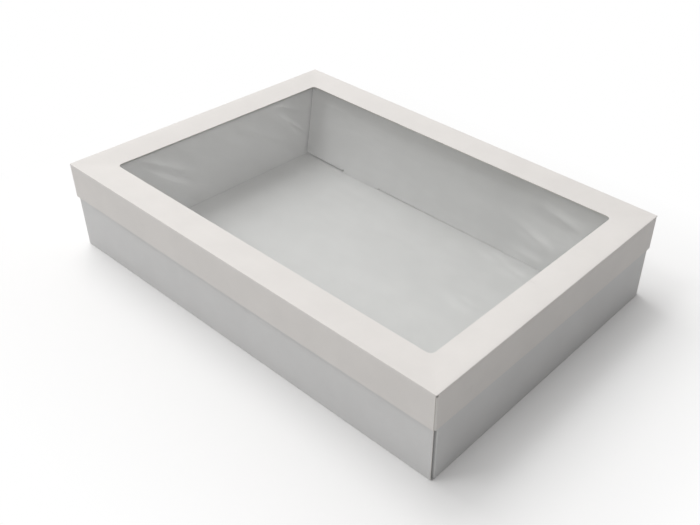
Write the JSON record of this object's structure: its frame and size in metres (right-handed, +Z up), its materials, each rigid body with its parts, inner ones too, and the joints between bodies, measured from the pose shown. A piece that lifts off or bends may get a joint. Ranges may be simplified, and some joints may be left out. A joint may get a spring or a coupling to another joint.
{
  "type": "grazing box",
  "caption": "Rectangular white board food tray with slanted double walls and a lift-off lid whose top is a clear film window in a board frame.",
  "frame": {"origin": "middle of the underside, on the surface that the box stands on", "axes": "+X along the long sides, +Y from the front long side to the back one, +Z up"},
  "size_m": [0.4018, 0.2812, 0.081],
  "materials": {
    "base_board": "matte white",
    "lid_board": "matte white, slightly warm",
    "film": "clear gloss film",
    "glue": "dried glue"
  },
  "bodies": {
    "base": {"base_floor": "base_board", "front_outer_wall": "base_board", "back_outer_wall": "base_board", "left_outer_wall": "base_board", "right_outer_wall": "base_board", "front_rim": "base_board", "back_rim": "base_board", "left_rim": "base_board", "right_rim": "base_board", "front_inner_wall": "base_board", "back_inner_wall": "base_board", "left_inner_wall": "base_board", "right_inner_wall": "base_board", "corner_bends": "base_board", "corner_flaps": "base_board"},
    "lid": {"lid_frame": "lid_board", "lid_front_skirt": "lid_board", "lid_back_skirt": "lid_board", "lid_left_skirt": "lid_board", "lid_right_skirt": "lid_board", "lid_corner_bends": "lid_board", "lid_corner_flaps": "lid_board", "lid_corner_glue": "glue", "window_film": "film", "film_glue": "glue"}
  },
  "joints": [
    {"name": "lid_lift", "type": "slide", "parent": "base", "child": "lid", "axis": [0, 0, 1], "range_m": [0, 0.1]}
  ]
}
